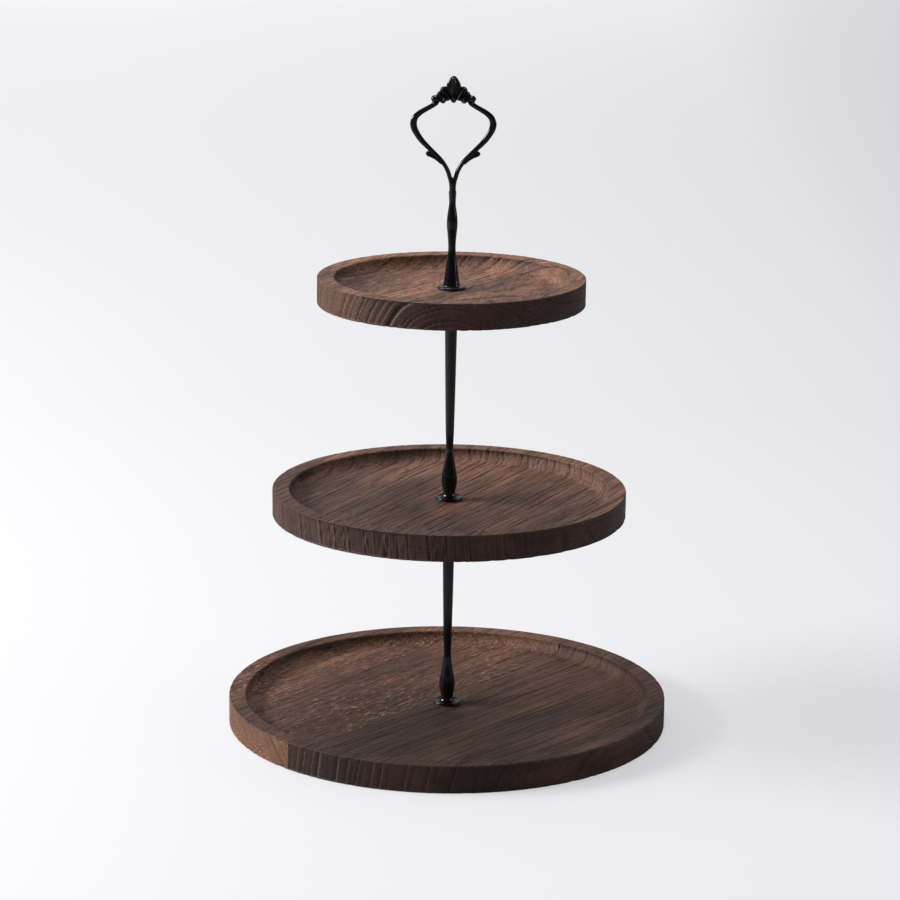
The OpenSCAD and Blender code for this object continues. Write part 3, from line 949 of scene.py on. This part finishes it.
# %% Crown fused
VOXEL = 0.17         # in mm, well under the thinnest leaf


def fuse(name, grids, lift):
    """Joins closed grids into one mesh, remeshes it and smooths the voxel steps away."""
    all_points, all_faces, count = [], [], 0
    for grid in grids:
        points, faces = closed_grid(grid)
        all_points.append(points)
        all_faces += [block + count for block in faces]
        count += len(points)
    piece = link_mesh(name, np.concatenate(all_points) * MM + (0, 0, lift), all_faces)
    remesh = piece.modifiers.new("fuse", "REMESH")
    remesh.mode = "VOXEL"
    remesh.voxel_size = VOXEL * MM
    smooth = piece.modifiers.new("settle", "SMOOTH")
    smooth.factor = 0.5
    smooth.iterations = 5
    graph = bpy.context.evaluated_depsgraph_get()
    done = bpy.data.meshes.new_from_object(piece.evaluated_get(graph))
    piece.modifiers.clear()
    piece.data = done
    done.shade_smooth()
    return piece


crown_low, crown_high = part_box("crown_handle")
crown = fuse("cast_crown_handle", crown_parts(), crown_low.z)
finish_piece(crown, "crown_handle", "black_paint", black_paint, "crown_handle")
print("crown height:", round((crown_high.z - crown_low.z) / MM, 1), "mm")

# %% [markdown]
# ## Screw, studs, washers and gaskets
#
# These pieces show only from below or when a rod is unscrewed, but then the thread is what
# the eye looks for. A thread is a cylinder whose radius falls and rises once in each pitch,
# with the start of each turn carried on by the one before: a formula of angle and height.

# %% Threads
PITCH = 0.7                   # M4
CROWN_THREAD = (1.25, 0.45)   # radius and pitch, M2.5


def thread_grid(radius, low, high, pitch=PITCH, turns=32):
    """r = radius - depth * |saw(height / pitch - angle / 2 pi)|, with both ends cut back to
    the thread's root so that they close in a small cone."""
    z = np.arange(low, high + 1e-6, pitch / 8)[:, None]
    a = np.linspace(0, 2 * np.pi, turns, endpoint=False)
    depth = 0.6 * pitch
    saw = (z / pitch - a / (2 * np.pi)) % 1
    r = radius - depth * np.clip(np.abs(2 * saw - 1) * 1.25 - 0.1, 0, 1)
    room = np.minimum(z - low, high - z)
    r = np.minimum(r, radius - depth + np.clip(room, 0, depth))
    return np.stack([r * np.cos(a), r * np.sin(a), z + 0 * a], -1)


for node, body, radius, pitch in (("lower_rod_stud", "lower_rod", THREAD, PITCH),
                                  ("upper_rod_stud", "upper_rod", THREAD, PITCH),
                                  ("crown_stud", "crown_stud", *CROWN_THREAD)):
    low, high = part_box(node)
    grid = thread_grid(radius, low.z / MM, high.z / MM, pitch) * MM
    stud = link_mesh("threaded_" + node, *closed_grid(grid))
    finish_piece(stud, body, "steel", zinc_steel, node)

# %% Base screw
HEAD_RADIUS = 4.0
HEAD_THICKNESS = 2.2
HEAD_ROWS = 34              # rows across the flat of the head
CROSS = (0.52, 2.2, 1.25)   # half width, reach and depth of the cross recess


def screw_head_grid(low):
    """A pan head from its middle outwards and up to the shank. The flat is pushed in by the
    cross: the smaller of two steps, one on |x| and |y| crossed and one on the reach."""
    face = np.linspace(0.05, HEAD_RADIUS - 0.7, HEAD_ROWS)
    flat = np.stack([face, np.zeros(HEAD_ROWS)], -1)
    round_edge = arc((HEAD_RADIUS - 0.7, 0.7), 0.7, -80, 0, 7)
    top = np.array([(HEAD_RADIUS, HEAD_THICKNESS - 0.1), (HEAD_RADIUS - 0.1, HEAD_THICKNESS),
                    (THREAD, HEAD_THICKNESS), (THREAD - 0.42, HEAD_THICKNESS + 0.3)])
    grid = turned_grid(np.concatenate([flat, round_edge, top]), 120)
    x, y = np.abs(grid[..., 0]), np.abs(grid[..., 1])
    half, reach, deep = CROSS
    narrow = 1 / (1 + np.exp((np.minimum(x, y) - half) / 0.06))
    long = 1 / (1 + np.exp((np.maximum(x, y) - reach) / 0.08))
    on_flat = np.arange(len(grid))[:, None] < HEAD_ROWS
    grid[..., 2] += low + deep * narrow * long * on_flat
    return grid


screw_low, screw_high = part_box("base_screw")
head = screw_head_grid(screw_low.z / MM)
shank = thread_grid(THREAD, head[-1, 0, 2] - 0.5, screw_high.z / MM)
head_points, head_faces = closed_grid(head * MM)
shank_points, shank_faces = closed_grid(shank * MM)
screw = link_mesh("cross_head_screw", np.concatenate([head_points, shank_points]),
                  head_faces + [block + len(head_points) for block in shank_faces])
finish_piece(screw, "base", "steel", zinc_steel, "base_screw")

# %% Washers and gaskets


def ring_piece(name, node, s):
    """A flat ring with edges rounded by s mm, as a closed outline that fills its node's box."""
    low, high = (np.array(corner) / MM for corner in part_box(node))
    outer = (high[0] - low[0]) / 2
    inner = THREAD + 0.2
    outline = np.concatenate([
        arc((outer - s, low[2] + s), s, -90, 0, 4),
        arc((outer - s, high[2] - s), s, 0, 90, 4),
        arc((inner + s, high[2] - s), s, 90, 180, 4),
        arc((inner + s, low[2] + s), s, 180, 270, 4)])
    return turned_piece(name, outline, 72, wrap_rows=True)


for node, body, slot, material, soften in (
        ("base_washer", "base", "steel", zinc_steel, 0.15),
        ("middle_under_washer", "lower_rod", "steel", zinc_steel, 0.15),
        ("top_under_washer", "upper_rod", "steel", zinc_steel, 0.15),
        ("base_gasket", "base", "gasket", soft_gasket, 0.12),
        ("middle_under_gasket", "lower_rod", "gasket", soft_gasket, 0.12),
        ("top_under_gasket", "upper_rod", "gasket", soft_gasket, 0.12),
        ("lower_foot_gasket", "lower_foot_gasket", "gasket", soft_gasket, 0.15),
        ("middle_foot_gasket", "middle_foot_gasket", "gasket", soft_gasket, 0.15),
        ("top_foot_gasket", "top_foot_gasket", "gasket", soft_gasket, 0.15)):
    finish_piece(ring_piece("pressed_" + node, node, soften), body, slot, material, node)

# %% [markdown]
# ## Floor, backdrop and light
#
# The floor is one large pale disc that fades into an equally pale surrounding, so that no
# horizon shows from any side. A wide soft light stands on the left, and weaker ones above
# and on the right fill the rest. That leaves a soft shadow on the right and dark right-hand
# sides on the trays. The floor glows a little to the eye only, which thins the shadow on it
# without lighting the wood from below. It is open under the bottom tray, where nothing
# shows from above, so that the underside can be looked at too.

# %% Floor
FLOOR_RADIUS = 14.0
FLOOR_SEEN = shade(152, 152, 153)
FLOOR_MIRRORED = shade(172, 170, 174)
FLOOR_UNSEEN = shade(162, 158, 156)
FLOOR_GLOW = (0.99, 0.99, 1.02, 1.0)
RINGS, SPOKES = 24, 128


def make_floor(opening):
    """Rings of radius r: (r cos a, r sin a, 0), with a glow that grows with the distance."""
    outline = np.stack([np.geomspace(opening, FLOOR_RADIUS, RINGS), np.zeros(RINGS)], -1)
    floor = link_mesh("studio_floor", turned_grid(outline, SPOKES).reshape(-1, 3),
                      [grid_faces(RINGS, SPOKES, False, True)])
    material, tree, shader, place = new_material("studio_paper")
    spot = add_node(tree, "ShaderNodeSeparateXYZ", {0: place}).outputs
    far = add_node(tree, "ShaderNodeVectorMath", {0: place}, operation="LENGTH").outputs[1]
    path = tree.nodes.new("ShaderNodeLightPath").outputs
    colour = mix_colours(tree, path["Is Glossy Ray"], FLOOR_UNSEEN, FLOOR_MIRRORED)
    colour = mix_colours(tree, path["Is Camera Ray"], colour, FLOOR_SEEN)
    tree.links.new(colour, shader.inputs["Base Color"])
    shader.inputs["Roughness"].default_value = 0.95
    shader.inputs["Specular IOR Level"].default_value = 0.1
    shader.inputs["Emission Color"].default_value = FLOOR_GLOW
    # Painted shade: the glow is weaker towards the right, so the floor darkens there as the light
    # falls off.
    near = span(tree, spot["X"], -0.5, 0.6, 0.57, 0.46)
    near = maths(tree, "SUBTRACT", near, span(tree, spot["X"], 0.38, 0.8, 0.0, 0.14))
    glow = maths(tree, "ADD", near, span(tree, far, 0.8, 5.0, 0.0, 0.36))
    tree.links.new(maths(tree, "MULTIPLY", path["Is Camera Ray"], glow),
                   shader.inputs["Emission Strength"])
    floor.data.materials.append(material)


make_floor((bottom_high[0] - bottom_low[0]) / 2 - 4 * MM)

# %% Lights


def soft_light(name, place, target, size, power):
    """An area light, wider than it is high, that faces a target."""
    data = bpy.data.lights.new(name, "AREA")
    data.shape = "RECTANGLE"
    data.size, data.size_y = size
    data.energy = power
    light = bpy.data.objects.new(name, data)
    light.location = place
    way = np.array(target) - np.array(place)
    light.rotation_euler = (math.acos(-way[2] / np.linalg.norm(way)), 0,
                            math.atan2(way[1], way[0]) - math.pi / 2)
    bpy.context.collection.objects.link(light)


soft_light("key_light", (-1.93, -0.1, 1.08), (0, 0, 0.12), (1.2, 0.5), 60)
soft_light("top_light", (-0.35, 0.35, 2.3), (0, 0.1, 0.1), (1.4, 1.4), 24)
soft_light("fill_light", (1.9, -0.3, 0.7), (0, 0, 0.12), (0.8, 0.8), 5)

# %% The room
ROOM_FRONT = (0.07, 0.07, 0.075, 1)
ROOM_BACK = (0.42, 0.43, 0.44, 1)
SURROUNDING = (0.80, 0.80, 0.82, 1.0)


def make_room():
    """A world that lights the stand a little, more from behind than from the front. To the
    eye it is as pale as the far end of the floor."""
    world = bpy.data.worlds.new("studio")
    bpy.context.scene.world = world
    world.use_nodes = True
    room = world.node_tree
    facing = room.nodes.new("ShaderNodeTexCoord").outputs["Generated"]
    back = add_node(room, "ShaderNodeSeparateXYZ", {0: facing}).outputs["Y"]
    lit = mix_colours(room, span(room, back, -0.6, 0.9), ROOM_FRONT, ROOM_BACK)
    eye = room.nodes.new("ShaderNodeLightPath").outputs["Is Camera Ray"]
    room.links.new(mix_colours(room, eye, lit, SURROUNDING),
                   room.nodes["Background"].inputs["Color"])


make_room()
bpy.context.scene.view_settings.view_transform = "Standard"
